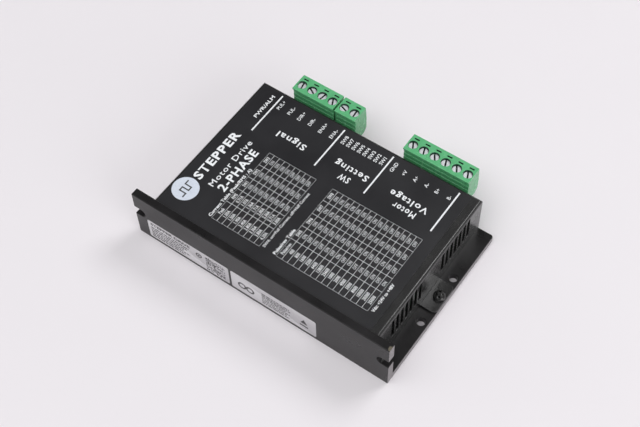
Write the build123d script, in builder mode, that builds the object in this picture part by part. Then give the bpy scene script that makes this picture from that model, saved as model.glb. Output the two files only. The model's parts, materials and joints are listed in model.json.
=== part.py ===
from build123d import *
import os

# Stepper driver module: an L-shaped aluminium heatsink base carries a circuit board, under a folded
# sheet cover. Three pull-off screw terminal plugs and a row of setting switches face the rear.
# Frame: origin at the centre of the base plate's underside, +X along the module's length, +Y towards
# the terminals and +Z up. Lengths are in millimetres.

# --- Overall size ---------------------------------------------------------------------------------
LENGTH = 118.0
WIDTH = 75.5
HEIGHT = 25.5
FRONT_Y = -WIDTH / 2
REAR_Y = WIDTH / 2

# --- Heatsink base --------------------------------------------------------------------------------
BASE_T = 3.2
WALL_T = 3.4
WALL_IN_Y = FRONT_Y + WALL_T
ROOT_R = 0.5
BASE_CORNER_R = 1.2
EDGE_R = 0.3
FIXING_PITCH = 112.0
FLANGE_HOLE_PITCH = 23.0
FLANGE_HOLE_Y = 1.0
FLANGE_HOLE_R = 1.75
END_SLOT_H = 4.4
END_SLOT_Z = 15.0
END_SLOT_REACH = 6.0
TAPPED_R = 1.5
BLIND_DEPTH = BASE_T - 0.5

# --- Sheet cover ----------------------------------------------------------------------------------
SHEET_T = 1.0
COVER_HALF = 52.0
COVER_TOP = 22.3
COVER_FRONT_Y = WALL_IN_Y + ROOT_R
COVER_MID_Y = 1.9
COVER_IN_Y = REAR_Y - SHEET_T
COVER_IN_TOP = COVER_TOP - SHEET_T
BEND_R = 1.2
TAB_REACH = 6.9
TAB_W = 14.2
TAB_R = 2.0
TAB_SCREW_X = 56.2
CLEARANCE_HOLE_R = 1.6
VENT_COUNT = 7
VENT_PITCH = 3.05
VENT_W = 1.75
VENT_H = 12.2
VENT_Z = 14.7
VENT_GROUP_Y = 17.0
WINDOW_GAP = 0.25

# --- Film and stickers ----------------------------------------------------------------------------
FILM_T = 0.15
FILM_LEFT = -50.6
FILM_RIGHT = 47.9
FILM_FRONT = -33.4
FILM_REAR = 36.4
FILM_R = 1.0
STICKER_T = 0.1
STICKER_H = 11.2
STICKER_W = 39.6
STICKER_Z = 7.4
STICKER_R = 0.8
RATING_X = -33.45
APPROVAL_X = 7.25

# --- M3 screws ------------------------------------------------------------------------------------
M3_SHANK_R = 1.45
M3_HEAD_R = 2.4
M3_RIM_H = 1.05
M3_HEAD_H = 2.05
CROSS_SPAN = 3.0
CROSS_W = 0.85
CROSS_DEPTH = 1.3
COVER_SCREW_L = 3.8
CHASSIS_SCREW_L = 8.0

# --- Circuit board --------------------------------------------------------------------------------
BOARD_T = 1.6
BOARD_Z = 7.0
BOARD_TOP = BOARD_Z + BOARD_T
BOARD_HALF = 50.0
BOARD_FRONT = -16.5
BOARD_REAR = 36.4
BOARD_R = 1.5
STANDOFF_X = 46.5
STANDOFF_YS = (-8.0, 24.0)
STANDOFF_AF = 5.5
LEAD_HOLE_R = 0.5
LEAD_DROP = 1.4

# --- Power stage ----------------------------------------------------------------------------------
PAD_T = 0.3
TRANSISTOR_W = 10.0
TRANSISTOR_BODY_L = 9.2
TRANSISTOR_TAB_L = 6.2
TRANSISTOR_T = 4.4
TRANSISTOR_TAB_T = 1.3
TRANSISTOR_FRONT = -33.0
TRANSISTOR_PAIR = 10.6
TRANSISTOR_GROUP = 24.4
TRANSISTOR_GROUPS = 4
TRANSISTOR_LEAD = 2.54
TRANSISTOR_LEAD_Y = -13.5
TRANSISTOR_LEAD_T = 0.6
TRANSISTOR_HOLE_R = 1.85
BAR_L = 98.0
BAR_W = 6.4
BAR_T = 1.5
BAR_Y = -22.2
CAPACITOR_R = 6.0
CAPACITOR_L = 21.0
CAPACITOR_X = 27.0
CAPACITOR_YS = (13.2, -0.6)
CAPACITOR_LEAD_PITCH = 5.0
CAPACITOR_LEAD_X = 14.0
INDUCTOR_SIZE = 12.0
INDUCTOR_H = 7.0
INDUCTOR_POINT = (2.5, 13.0)

# --- Chips ----------------------------------------------------------------------------------------
CHIP_LIFT = 0.1
CONTROL_SIZE = 10.0
CONTROL_H = 1.5
CONTROL_POINT = (-26.0, 3.0)
CONTROL_LEADS = 12
CONTROL_LEAD_PITCH = 0.65
DRIVER_L = 12.8
DRIVER_W = 7.5
DRIVER_H = 2.4
DRIVER_POINTS = ((-8.0, -3.5), (6.5, -3.5))
DRIVER_LEADS = 9
DRIVER_LEAD_PITCH = 1.27
OPTO_L = 6.4
OPTO_W = 8.8
OPTO_H = 3.4
OPTO_POINTS = ((-34.5, 17.0), (-24.0, 17.0), (-13.5, 17.0))
OPTO_LEAD_PITCH = 2.54
GULL_REACH = 1.1
GULL_T = 0.3

# --- Screw terminals: name, centre along X and number of poles ------------------------------------
PITCH = 5.0
PLUGS = (("pulse", -29.2, 4), ("enable", -13.55, 2), ("power", 29.2, 6))
PLUG_TRIM = 0.2
PLUG_TOP = 25.1
PLUG_BOTTOM = 9.95
LIP_Y = 39.55
LIP_Z = 24.2
SHOULDER_Y = 40.3
PLUG_BACK_TOP_Y = 47.85
PLUG_BACK_Y = 48.6
PLUG_KNEE_Z = 18.0
PLUG_TOE_Z = 12.0
PLUG_TOE_Y = 46.9
TONGUE_TIP_Y = 29.6
TONGUE_TOP = 15.95
TONGUE_GROOVE_W = 0.6
TONGUE_GROOVE_DEPTH = 7.0
RIB_GROOVE = 0.45
RIB_ZS = (19.2, 21.6)
MARKER_Y = 46.2
MARKER_L = 2.3
MARKER_W = 0.65
MARKER_DEPTH = 2.0
WIRE_W = 3.2
WIRE_H = 2.5
WIRE_Z = 12.45

# --- Clamp in each pole ---------------------------------------------------------------------------
CLAMP_Y = 43.15
HEAD_R = 1.85
HEAD_TOP = 24.1
HEAD_BORE_R = 2.0
NECK_Z = 22.4
HEAD_SLOT_W = 0.65
HEAD_SLOT_DEPTH = 0.8
HEAD_ROUND = 0.2
CLAMP_SHANK_R = 1.2
RUNNING_GAP = 0.08
SMALL_GAP = 0.05
CAGE_W = 3.7
CAGE_D = 4.2
CAGE_SIDE_T = 0.45
CAGE_PLATE_T = 1.0
CAGE_FLOOR_T = 0.6
CAGE_BOTTOM = 12.7
CAGE_TOP = 17.4
CAVITY_W = 4.1
CAVITY_D = 4.7
CAVITY_BOTTOM = 10.5
CAVITY_TOP = 17.7
BAR_CONTACT_W = 2.2
BAR_CONTACT_BOTTOM = 13.6
BAR_CONTACT_TOP = 14.3
LEAF_BOTTOM = 12.0
LEAF_TOP = 12.4
CONTACT_TIP_Y = 30.6
CONTACT_WEB_Y = 38.0
CONTACT_WEB_T = 0.5
CONTACT_END_Y = 45.1
# Where each clamp screw's slot points, in degrees from +X.
SLOT_ANGLES = {
    "pulse": (100, 150, 80, 115),
    "enable": (160, 95),
    "power": (118, 110, 122, 112, 120, 114),
}

# --- Board headers and their pins -----------------------------------------------------------------
HEADER_BACK_Y = 27.4
HEADER_MOUTH_Y = 39.2
HEADER_TOP = 17.1
HEADER_WALL = 1.0
HEADER_FLOOR = 1.2
HEADER_BACK_T = 2.0
PIN_T = 1.0
PIN_Z = 13.0
PIN_TIP_Y = 37.6
PIN_LEG_Y = 26.3
PIN_HOLE_R = 0.8
PIN_ENTRY = 1.4

# --- Setting switches -----------------------------------------------------------------------------
SWITCH_X = 2.8
SWITCH_COUNT = 8
SWITCH_PITCH = 2.54
SWITCH_L = 21.8
SWITCH_FACE_Y = 36.6
SWITCH_BACK_Y = 29.6
SWITCH_TOP = 17.4
SWITCH_LEAD_T = 0.5
SWITCH_LEAD_ROWS = 5.08
SLIDER_W = 1.0
SLIDER_H = 1.5
SLIDER_Z = 12.05
SLIDER_TRAVEL = 1.9
SLIDER_TIP_Y = 37.4
SLIDER_ROOT_Y = 35.2
TRACK_W = 1.3
TRACK_GAP = 0.12
SWITCH_WINDOW_W = 19.8
SWITCH_WINDOW_H = 6.0

# --- Status lights --------------------------------------------------------------------------------
LED_X = -43.5
LED_ZS = (11.3, 15.7)
LED_R = 1.5
LED_FLANGE_R = 1.9
LED_FLANGE_T = 0.9
LED_BACK_Y = 32.4
LED_TIP_Y = 38.1
LED_LEAD_T = 0.5
LED_LEAD_PITCH = 2.54
LED_LEAD_YS = (28.2, 30.4)
LED_HOLE_R = 1.7

os.makedirs("parts", exist_ok=True)


def pole_xs(centre, poles):
    """X of each pole of a plug, from left to right."""
    return [centre + (i - (poles - 1) / 2) * PITCH for i in range(poles)]


def plug_width(poles):
    """Overall width of a plug and of its header."""
    return poles * PITCH - PLUG_TRIM


def side_plane(x):
    """Plane facing +X at x, whose own x and y run along Y and Z."""
    return Plane.YZ.offset(x)


def rear_plane(y):
    """Plane at y whose own x and y run along X and Z, facing -Y."""
    return Plane.XZ.offset(-y)


def save(part, name):
    """Label a finished piece and write it under its own name."""
    part.label = name
    export_step(part, f"parts/{name}.step")


def pan_head_screws(seats, length):
    """M3 cross-recess pan-head screws, one under each seat point, heads up."""
    with BuildPart() as screws:
        for seat in seats:
            with BuildSketch(Plane(seat, x_dir=(1, 0, 0), z_dir=(0, -1, 0))):
                with BuildLine():
                    Polyline(
                        (0, M3_HEAD_H),
                        (0, -length),
                        (M3_SHANK_R, -length),
                        (M3_SHANK_R, 0),
                        (M3_HEAD_R, 0),
                        (M3_HEAD_R, M3_RIM_H),
                    )
                    dome_x = M3_HEAD_R * 0.68
                    dome_z = M3_RIM_H + (M3_HEAD_H - M3_RIM_H) * 0.72
                    ThreePointArc((M3_HEAD_R, M3_RIM_H), (dome_x, dome_z), (0, M3_HEAD_H))
                make_face()
            revolve(axis=Axis(seat, (0, 0, 1)))
            with BuildSketch(Plane(seat).offset(M3_HEAD_H)):
                Rectangle(CROSS_SPAN, CROSS_W, rotation=30)
                Rectangle(CROSS_W, CROSS_SPAN, rotation=30)
            extrude(amount=-CROSS_DEPTH, mode=Mode.SUBTRACT)
    return screws.part


board_seats = [(x, y, BOARD_TOP) for x in (-STANDOFF_X, STANDOFF_X) for y in STANDOFF_YS]
bar_seats = [
    (x, BAR_Y, BASE_T + PAD_T + TRANSISTOR_T + BAR_T)
    for x in (-TRANSISTOR_GROUP, 0, TRANSISTOR_GROUP)
]
chassis_points = [(x, y, BASE_T) for x, y, _ in board_seats + bar_seats]
tab_seats = [(side * TAB_SCREW_X, COVER_MID_Y, BASE_T + SHEET_T) for side in (-1, 1)]
all_pole_xs = [x for _, centre, poles in PLUGS for x in pole_xs(centre, poles)]
switch_xs = [SWITCH_X + (i - (SWITCH_COUNT - 1) / 2) * SWITCH_PITCH for i in range(SWITCH_COUNT)]
switch_lead_y = (SWITCH_BACK_Y + SWITCH_FACE_Y) / 2
transistor_xs = [
    (group - (TRANSISTOR_GROUPS - 1) / 2) * TRANSISTOR_GROUP + side * TRANSISTOR_PAIR / 2
    for group in range(TRANSISTOR_GROUPS)
    for side in (-1, 1)
]

# --- Heatsink base: one extrusion, a plate with an upright end wall --------------------------------
with BuildPart() as heatsink_base:
    with BuildSketch(side_plane(-LENGTH / 2)):
        with BuildLine():
            Polyline(
                (FRONT_Y, 0),
                (REAR_Y, 0),
                (REAR_Y, BASE_T),
                (WALL_IN_Y, BASE_T),
                (WALL_IN_Y, HEIGHT),
                (FRONT_Y, HEIGHT),
                close=True,
            )
        make_face()
    extrude(amount=LENGTH)
    long_edges = heatsink_base.edges().filter_by(Axis.X)
    fillet(long_edges.sort_by_distance((0, WALL_IN_Y, BASE_T))[0], ROOT_R)
    fillet(heatsink_base.edges().filter_by(Axis.X).group_by(Axis.Z)[-1], EDGE_R)
    fillet(heatsink_base.edges().filter_by(Axis.Z).group_by(Axis.Y)[-1], BASE_CORNER_R)
    with Locations((0, FLANGE_HOLE_Y, BASE_T)):
        with GridLocations(FIXING_PITCH, FLANGE_HOLE_PITCH, 2, 2):
            Hole(FLANGE_HOLE_R)
    with Locations(*[(x, y, BASE_T) for x, y, _ in tab_seats]):
        Hole(TAPPED_R)
    with Locations(*chassis_points):
        Hole(TAPPED_R, depth=BLIND_DEPTH)
    with BuildSketch(rear_plane(FRONT_Y)):
        with Locations((0, END_SLOT_Z)):
            with GridLocations(FIXING_PITCH + END_SLOT_REACH, 0, 2, 1):
                SlotCenterToCenter(END_SLOT_REACH, END_SLOT_H)
    extrude(amount=-WALL_T, mode=Mode.SUBTRACT)
save(heatsink_base.part, "heatsink_base")

# --- Cover: sheet folded down over both ends and the rear, open to the front and below -------------
with BuildPart() as cover:
    with BuildSketch(Plane.XY.offset(BASE_T)):
        with Locations((0, (COVER_FRONT_Y + REAR_Y) / 2)):
            Rectangle(2 * COVER_HALF, REAR_Y - COVER_FRONT_Y)
    extrude(amount=COVER_TOP - BASE_T)
    top_edges = cover.edges().group_by(Axis.Z)[-1]
    fillet(top_edges.sort_by(Axis.Y)[1:], BEND_R)
    with BuildSketch(Plane.XY.offset(BASE_T)):
        with Locations((0, (COVER_FRONT_Y + COVER_IN_Y) / 2)):
            Rectangle(2 * (COVER_HALF - SHEET_T), COVER_IN_Y - COVER_FRONT_Y)
    extrude(amount=COVER_IN_TOP - BASE_T, mode=Mode.SUBTRACT)
    with BuildSketch(Plane.XY.offset(BASE_T)) as tabs:
        with Locations((0, COVER_MID_Y)):
            with GridLocations(2 * COVER_HALF + TAB_REACH - SHEET_T, 0, 2, 1):
                Rectangle(TAB_REACH + SHEET_T, TAB_W)
        fillet(tabs.vertices().group_by(Axis.X)[0], TAB_R)
        fillet(tabs.vertices().group_by(Axis.X)[-1], TAB_R)
    extrude(amount=SHEET_T)
    with Locations(*tab_seats):
        Hole(CLEARANCE_HOLE_R)
    with BuildSketch(side_plane(-COVER_HALF)):
        with Locations((COVER_MID_Y, VENT_Z)):
            with GridLocations(2 * VENT_GROUP_Y, 0, 2, 1):
                with GridLocations(VENT_PITCH, 0, VENT_COUNT, 1):
                    SlotOverall(VENT_H, VENT_W, rotation=90)
    extrude(amount=2 * COVER_HALF, mode=Mode.SUBTRACT)
    with BuildSketch(rear_plane(COVER_IN_Y)):
        for left, right in ((PLUGS[0], PLUGS[1]), (PLUGS[2], PLUGS[2])):
            x_low = left[1] - plug_width(left[2]) / 2 - WINDOW_GAP
            x_high = right[1] + plug_width(right[2]) / 2 + WINDOW_GAP
            with Locations(((x_low + x_high) / 2, (BOARD_TOP + HEADER_TOP) / 2)):
                Rectangle(x_high - x_low, HEADER_TOP - BOARD_TOP + 2 * WINDOW_GAP)
        with Locations((SWITCH_X, SLIDER_Z + SLIDER_TRAVEL / 2)):
            Rectangle(SWITCH_WINDOW_W, SWITCH_WINDOW_H)
        with Locations(*[(LED_X, z) for z in LED_ZS]):
            Circle(LED_HOLE_R)
    extrude(amount=-SHEET_T, mode=Mode.SUBTRACT)
save(cover.part, "cover")

# --- Printed film on the cover, and the two stickers on the end wall -------------------------------
with BuildPart() as top_label:
    with BuildSketch(Plane.XY.offset(COVER_TOP)):
        with Locations(((FILM_LEFT + FILM_RIGHT) / 2, (FILM_FRONT + FILM_REAR) / 2)):
            RectangleRounded(FILM_RIGHT - FILM_LEFT, FILM_REAR - FILM_FRONT, FILM_R)
    extrude(amount=FILM_T)
save(top_label.part, "top_label")

for sticker_name, sticker_x in (("rating_label", RATING_X), ("approval_label", APPROVAL_X)):
    with BuildPart() as sticker:
        with BuildSketch(rear_plane(FRONT_Y)):
            with Locations((sticker_x, STICKER_Z)):
                RectangleRounded(STICKER_W, STICKER_H, STICKER_R)
        extrude(amount=STICKER_T)
    save(sticker.part, sticker_name)

# --- Screws ---------------------------------------------------------------------------------------
save(pan_head_screws(tab_seats, COVER_SCREW_L), "cover_screws")
save(pan_head_screws(board_seats + bar_seats, CHASSIS_SCREW_L), "chassis_screws")

# --- Circuit board on its standoffs ---------------------------------------------------------------
with BuildPart() as board_standoffs:
    with BuildSketch(Plane.XY.offset(BASE_T)):
        with Locations(*[(x, y) for x, y, _ in board_seats]):
            RegularPolygon(STANDOFF_AF / 2, 6, major_radius=False)
            Circle(CLEARANCE_HOLE_R, mode=Mode.SUBTRACT)
    extrude(amount=BOARD_Z - BASE_T)
save(board_standoffs.part, "board_standoffs")

with BuildPart() as circuit_board:
    with BuildSketch(Plane.XY.offset(BOARD_Z)):
        with Locations((0, (BOARD_FRONT + BOARD_REAR) / 2)):
            RectangleRounded(2 * BOARD_HALF, BOARD_REAR - BOARD_FRONT, BOARD_R)
        with Locations(*[(x, y) for x, y, _ in board_seats]):
            Circle(CLEARANCE_HOLE_R, mode=Mode.SUBTRACT)
        with Locations(*[(x, PIN_LEG_Y) for x in all_pole_xs]):
            Circle(PIN_HOLE_R, mode=Mode.SUBTRACT)
        with Locations(*[(x, TRANSISTOR_LEAD_Y) for x in transistor_xs]):
            with GridLocations(TRANSISTOR_LEAD, 0, 3, 1):
                Circle(LEAD_HOLE_R, mode=Mode.SUBTRACT)
        with Locations((SWITCH_X, switch_lead_y)):
            with GridLocations(SWITCH_PITCH, SWITCH_LEAD_ROWS, SWITCH_COUNT, 2):
                Circle(LEAD_HOLE_R, mode=Mode.SUBTRACT)
        with Locations(*[(CAPACITOR_LEAD_X, y) for y in CAPACITOR_YS]):
            with GridLocations(0, CAPACITOR_LEAD_PITCH, 1, 2):
                Circle(LEAD_HOLE_R, mode=Mode.SUBTRACT)
        with Locations(*[(LED_X, y) for y in LED_LEAD_YS]):
            with GridLocations(LED_LEAD_PITCH, 0, 2, 1):
                Circle(LEAD_HOLE_R, mode=Mode.SUBTRACT)
    extrude(amount=BOARD_T)
save(circuit_board.part, "circuit_board")

# --- Power stage: transistors lie on an insulating pad, held down by one bar -----------------------
transistor_z = BASE_T + PAD_T
transistor_rear = TRANSISTOR_FRONT + TRANSISTOR_TAB_L + TRANSISTOR_BODY_L
lead_z = transistor_z + TRANSISTOR_T * 0.6

with BuildPart() as insulating_pad:
    pad_y = (TRANSISTOR_FRONT + transistor_rear) / 2
    with BuildSketch(Plane.XY.offset(BASE_T)):
        with Locations((0, pad_y)):
            Rectangle(BAR_L, transistor_rear - TRANSISTOR_FRONT)
        with Locations(*[(x, y) for x, y, _ in bar_seats]):
            Circle(CLEARANCE_HOLE_R, mode=Mode.SUBTRACT)
    extrude(amount=PAD_T)
save(insulating_pad.part, "insulating_pad")

with BuildPart() as power_transistors:
    for x in transistor_xs:
        with BuildSketch(Plane.XY.offset(transistor_z)):
            with Locations((x, TRANSISTOR_FRONT + TRANSISTOR_TAB_L / 2)):
                Rectangle(TRANSISTOR_W, TRANSISTOR_TAB_L)
                Circle(TRANSISTOR_HOLE_R, mode=Mode.SUBTRACT)
        extrude(amount=TRANSISTOR_TAB_T)
        with BuildSketch(Plane.XY.offset(transistor_z)):
            with Locations((x, transistor_rear - TRANSISTOR_BODY_L / 2)):
                Rectangle(TRANSISTOR_W, TRANSISTOR_BODY_L)
        extrude(amount=TRANSISTOR_T)
        for lead_x in (x - TRANSISTOR_LEAD, x, x + TRANSISTOR_LEAD):
            with BuildSketch(side_plane(lead_x)):
                with BuildLine():
                    lead_path = Polyline(
                        (transistor_rear, lead_z),
                        (TRANSISTOR_LEAD_Y, lead_z),
                        (TRANSISTOR_LEAD_Y, BOARD_TOP + LEAD_DROP),
                    )
                    offset(lead_path, amount=TRANSISTOR_LEAD_T / 2, kind=Kind.INTERSECTION)
                make_face()
            extrude(amount=TRANSISTOR_LEAD_T / 2, both=True)
save(power_transistors.part, "power_transistors")

with BuildPart() as clamp_bar:
    with BuildSketch(Plane.XY.offset(transistor_z + TRANSISTOR_T)):
        with Locations((0, BAR_Y)):
            RectangleRounded(BAR_L, BAR_W, 1.0)
        with Locations(*[(x, y) for x, y, _ in bar_seats]):
            Circle(CLEARANCE_HOLE_R, mode=Mode.SUBTRACT)
    extrude(amount=BAR_T)
save(clamp_bar.part, "clamp_bar")

with BuildPart() as bulk_capacitors:
    can_z = BOARD_TOP + CAPACITOR_R
    for y in CAPACITOR_YS:
        with BuildSketch(Plane((CAPACITOR_X - CAPACITOR_L / 2, y, can_z), z_dir=(1, 0, 0))):
            Circle(CAPACITOR_R)
        can = extrude(amount=CAPACITOR_L)
        fillet(can.edges().filter_by(GeomType.CIRCLE), 0.6)
        for lead_y in (y - CAPACITOR_LEAD_PITCH / 2, y + CAPACITOR_LEAD_PITCH / 2):
            with BuildSketch(rear_plane(lead_y)):
                with BuildLine():
                    lead_path = Polyline(
                        (CAPACITOR_X - CAPACITOR_L / 2 + 1, can_z),
                        (CAPACITOR_LEAD_X, can_z),
                        (CAPACITOR_LEAD_X, BOARD_Z - LEAD_DROP),
                    )
                    offset(lead_path, amount=TRANSISTOR_LEAD_T / 2, kind=Kind.INTERSECTION)
                make_face()
            extrude(amount=TRANSISTOR_LEAD_T / 2, both=True)
save(bulk_capacitors.part, "bulk_capacitors")

with BuildPart() as power_inductor:
    with BuildSketch(Plane.XY.offset(BOARD_TOP)):
        with Locations(INDUCTOR_POINT):
            RectangleRounded(INDUCTOR_SIZE, INDUCTOR_SIZE, 2.0)
    extrude(amount=INDUCTOR_H)
    chamfer(power_inductor.edges().group_by(Axis.Z)[-1], 0.5)
save(power_inductor.part, "power_inductor")


# --- Chips with gull-wing leads, all standing on the board ----------------------------------------
def chips(points, size_x, size_y, height, leads, lead_pitch, four_sided):
    """Flat chips of one kind: a moulded body with a row of leads along each leaded side."""
    turns = (0, 90) if four_sided else (0,)
    with BuildPart() as group:
        with BuildSketch(Plane.XY.offset(BOARD_TOP + CHIP_LIFT)):
            with Locations(*points):
                Rectangle(size_x, size_y)
        extrude(amount=height)
        chamfer(group.edges().group_by(Axis.Z)[-1], height * 0.15)
        with BuildSketch(Plane.XY.offset(BOARD_TOP)):
            with Locations(*points):
                for turn in turns:
                    with Locations(Rotation(0, 0, turn)):
                        with GridLocations(lead_pitch, 0, leads, 1):
                            Rectangle(GULL_T, size_y + 2 * GULL_REACH)
        extrude(amount=CHIP_LIFT + GULL_T)
    return group.part


save(
    chips([CONTROL_POINT], CONTROL_SIZE, CONTROL_SIZE, CONTROL_H, CONTROL_LEADS, CONTROL_LEAD_PITCH, True),
    "control_chip",
)
save(
    chips(DRIVER_POINTS, DRIVER_L, DRIVER_W, DRIVER_H, DRIVER_LEADS, DRIVER_LEAD_PITCH, False),
    "driver_chips",
)
save(chips(OPTO_POINTS, OPTO_L, OPTO_W, OPTO_H, 2, OPTO_LEAD_PITCH, False), "optocouplers")


# --- Board headers that the plugs push into -------------------------------------------------------
def headers(plugs):
    """Open-ended header shells, one behind each plug, with a square hole for every pin."""
    with BuildPart() as shells:
        for _, centre, poles in plugs:
            with BuildSketch(side_plane(centre)):
                with BuildLine():
                    Polyline(
                        (HEADER_BACK_Y, BOARD_TOP),
                        (HEADER_MOUTH_Y, BOARD_TOP),
                        (HEADER_MOUTH_Y, BOARD_TOP + HEADER_FLOOR),
                        (HEADER_BACK_Y + HEADER_BACK_T, BOARD_TOP + HEADER_FLOOR),
                        (HEADER_BACK_Y + HEADER_BACK_T, HEADER_TOP - HEADER_WALL),
                        (HEADER_MOUTH_Y, HEADER_TOP - HEADER_WALL),
                        (HEADER_MOUTH_Y, HEADER_TOP),
                        (HEADER_BACK_Y, HEADER_TOP),
                        close=True,
                    )
                make_face()
            extrude(amount=plug_width(poles) / 2, both=True)
            with BuildSketch(rear_plane(HEADER_BACK_Y)):
                with Locations(*[(x, PIN_Z) for x in pole_xs(centre, poles)]):
                    Rectangle(PIN_T, PIN_T)
            extrude(amount=-HEADER_BACK_T, mode=Mode.SUBTRACT)
    return shells.part


save(headers(PLUGS[:2]), "signal_headers")
save(headers(PLUGS[2:]), "power_header")

with BuildPart() as header_pins:
    with BuildSketch(side_plane(0)) as pin_profile:
        with BuildLine():
            Polyline(
                (PIN_TIP_Y, PIN_Z - PIN_T / 2),
                (PIN_TIP_Y, PIN_Z + PIN_T / 2),
                (PIN_LEG_Y - PIN_T / 2, PIN_Z + PIN_T / 2),
                (PIN_LEG_Y - PIN_T / 2, BOARD_Z - LEAD_DROP),
                (PIN_LEG_Y + PIN_T / 2, BOARD_Z - LEAD_DROP),
                (PIN_LEG_Y + PIN_T / 2, PIN_Z - PIN_T / 2),
                close=True,
            )
        make_face()
    with Locations(*[(x, 0, 0) for x in all_pole_xs]):
        add(extrude(pin_profile.sketch, amount=PIN_T / 2, both=True, mode=Mode.PRIVATE))
save(header_pins.part, "header_pins")


# --- Plugs: housing, contacts, clamp cages and clamp screws ---------------------------------------
def plug_housing(centre, poles):
    """Moulded plug body with a clamp cavity, screw bore and wire entry at each pole."""
    xs = pole_xs(centre, poles)
    with BuildPart() as housing:
        with BuildSketch(side_plane(centre)):
            with BuildLine():
                Polyline(
                    (LIP_Y, PLUG_TOP),
                    (PLUG_BACK_TOP_Y, PLUG_TOP),
                    (PLUG_BACK_Y, PLUG_KNEE_Z),
                    (PLUG_BACK_Y, PLUG_TOE_Z),
                    (PLUG_TOE_Y, PLUG_BOTTOM),
                    (TONGUE_TIP_Y, PLUG_BOTTOM),
                    (TONGUE_TIP_Y, TONGUE_TOP),
                    (SHOULDER_Y, TONGUE_TOP),
                    (SHOULDER_Y, LIP_Z),
                    (LIP_Y, LIP_Z),
                    close=True,
                )
            make_face()
        extrude(amount=plug_width(poles) / 2, both=True)
        # Grooves along the front face, and short ones that part the poles at the tongue.
        with BuildSketch(side_plane(centre)):
            with Locations(*[(SHOULDER_Y, z) for z in RIB_ZS]):
                Rectangle(2 * RIB_GROOVE, RIB_GROOVE)
        extrude(amount=plug_width(poles) / 2, both=True, mode=Mode.SUBTRACT)
        with BuildSketch(Plane.XY.offset(PLUG_BOTTOM)):
            with Locations(*[(x + PITCH / 2, TONGUE_TIP_Y) for x in xs[:-1]]):
                Rectangle(TONGUE_GROOVE_W, 2 * TONGUE_GROOVE_DEPTH)
        extrude(amount=TONGUE_TOP - PLUG_BOTTOM, mode=Mode.SUBTRACT)
        # Screw bores, with a shoulder under each head, and the marker slots behind them.
        with Locations(*[(x, CLAMP_Y, PLUG_TOP) for x in xs]):
            CounterBoreHole(
                CLAMP_SHANK_R + RUNNING_GAP,
                HEAD_BORE_R,
                PLUG_TOP - NECK_Z,
                depth=PLUG_TOP - CAVITY_TOP,
            )
        with BuildSketch(Plane.XY.offset(PLUG_TOP)):
            with Locations(*[(x, MARKER_Y) for x in xs]):
                SlotOverall(MARKER_L, MARKER_W)
        extrude(amount=-MARKER_DEPTH, mode=Mode.SUBTRACT)
        # Clamp cavities, contact channels, pin entries and wire entries.
        with BuildSketch(Plane.XY.offset(CAVITY_BOTTOM)):
            with Locations(*[(x, CLAMP_Y) for x in xs]):
                Rectangle(CAVITY_W, CAVITY_D)
        extrude(amount=CAVITY_TOP - CAVITY_BOTTOM, mode=Mode.SUBTRACT)
        with BuildSketch(rear_plane(CONTACT_TIP_Y)):
            with Locations(*[(x, (LEAF_BOTTOM + BAR_CONTACT_TOP) / 2) for x in xs]):
                Rectangle(BAR_CONTACT_W, BAR_CONTACT_TOP - LEAF_BOTTOM)
        extrude(amount=-(CLAMP_Y - CONTACT_TIP_Y), mode=Mode.SUBTRACT)
        with BuildSketch(rear_plane(TONGUE_TIP_Y)):
            with Locations(*[(x, PIN_Z) for x in xs]):
                Rectangle(PIN_ENTRY, PIN_ENTRY)
        extrude(amount=-(CONTACT_TIP_Y - TONGUE_TIP_Y), mode=Mode.SUBTRACT)
        with BuildSketch(rear_plane(PLUG_BACK_Y)):
            with Locations(*[(x, WIRE_Z) for x in xs]):
                RectangleRounded(WIRE_W, WIRE_H, 0.6)
        extrude(amount=PLUG_BACK_Y - CLAMP_Y, mode=Mode.SUBTRACT)
    return housing.part


def plug_contacts(centre, poles):
    """Contacts: a fork that grips the header pin, running back as a bar through the clamp cage."""
    with BuildPart() as contacts:
        for x in pole_xs(centre, poles):
            with BuildSketch(side_plane(x)):
                with BuildLine():
                    Polyline(
                        (CONTACT_TIP_Y, BAR_CONTACT_TOP),
                        (CONTACT_END_Y, BAR_CONTACT_TOP),
                        (CONTACT_END_Y, BAR_CONTACT_BOTTOM),
                        (CONTACT_WEB_Y + CONTACT_WEB_T, BAR_CONTACT_BOTTOM),
                        (CONTACT_WEB_Y + CONTACT_WEB_T, LEAF_BOTTOM),
                        (CONTACT_TIP_Y, LEAF_BOTTOM),
                        (CONTACT_TIP_Y, LEAF_TOP),
                        (CONTACT_WEB_Y, LEAF_TOP),
                        (CONTACT_WEB_Y, BAR_CONTACT_BOTTOM),
                        (CONTACT_TIP_Y, BAR_CONTACT_BOTTOM),
                        close=True,
                    )
                make_face()
            extrude(amount=BAR_CONTACT_W / 2, both=True)
    return contacts.part


def clamp_cage(x):
    """Square loop round the contact bar; its thick top plate is the nut of the clamp screw."""
    loop_h = CAGE_TOP - CAGE_BOTTOM
    hollow_h = loop_h - CAGE_PLATE_T - CAGE_FLOOR_T
    with BuildPart() as cage:
        with BuildSketch(rear_plane(CLAMP_Y)):
            with Locations((x, CAGE_BOTTOM + loop_h / 2)):
                Rectangle(CAGE_W, loop_h)
            with Locations((x, CAGE_BOTTOM + CAGE_FLOOR_T + hollow_h / 2)):
                Rectangle(CAGE_W - 2 * CAGE_SIDE_T, hollow_h, mode=Mode.SUBTRACT)
        extrude(amount=CAGE_D / 2, both=True)
        with Locations((x, CLAMP_Y, CAGE_TOP)):
            Hole(CLAMP_SHANK_R + RUNNING_GAP, depth=CAGE_PLATE_T)
    return cage.part


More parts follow.
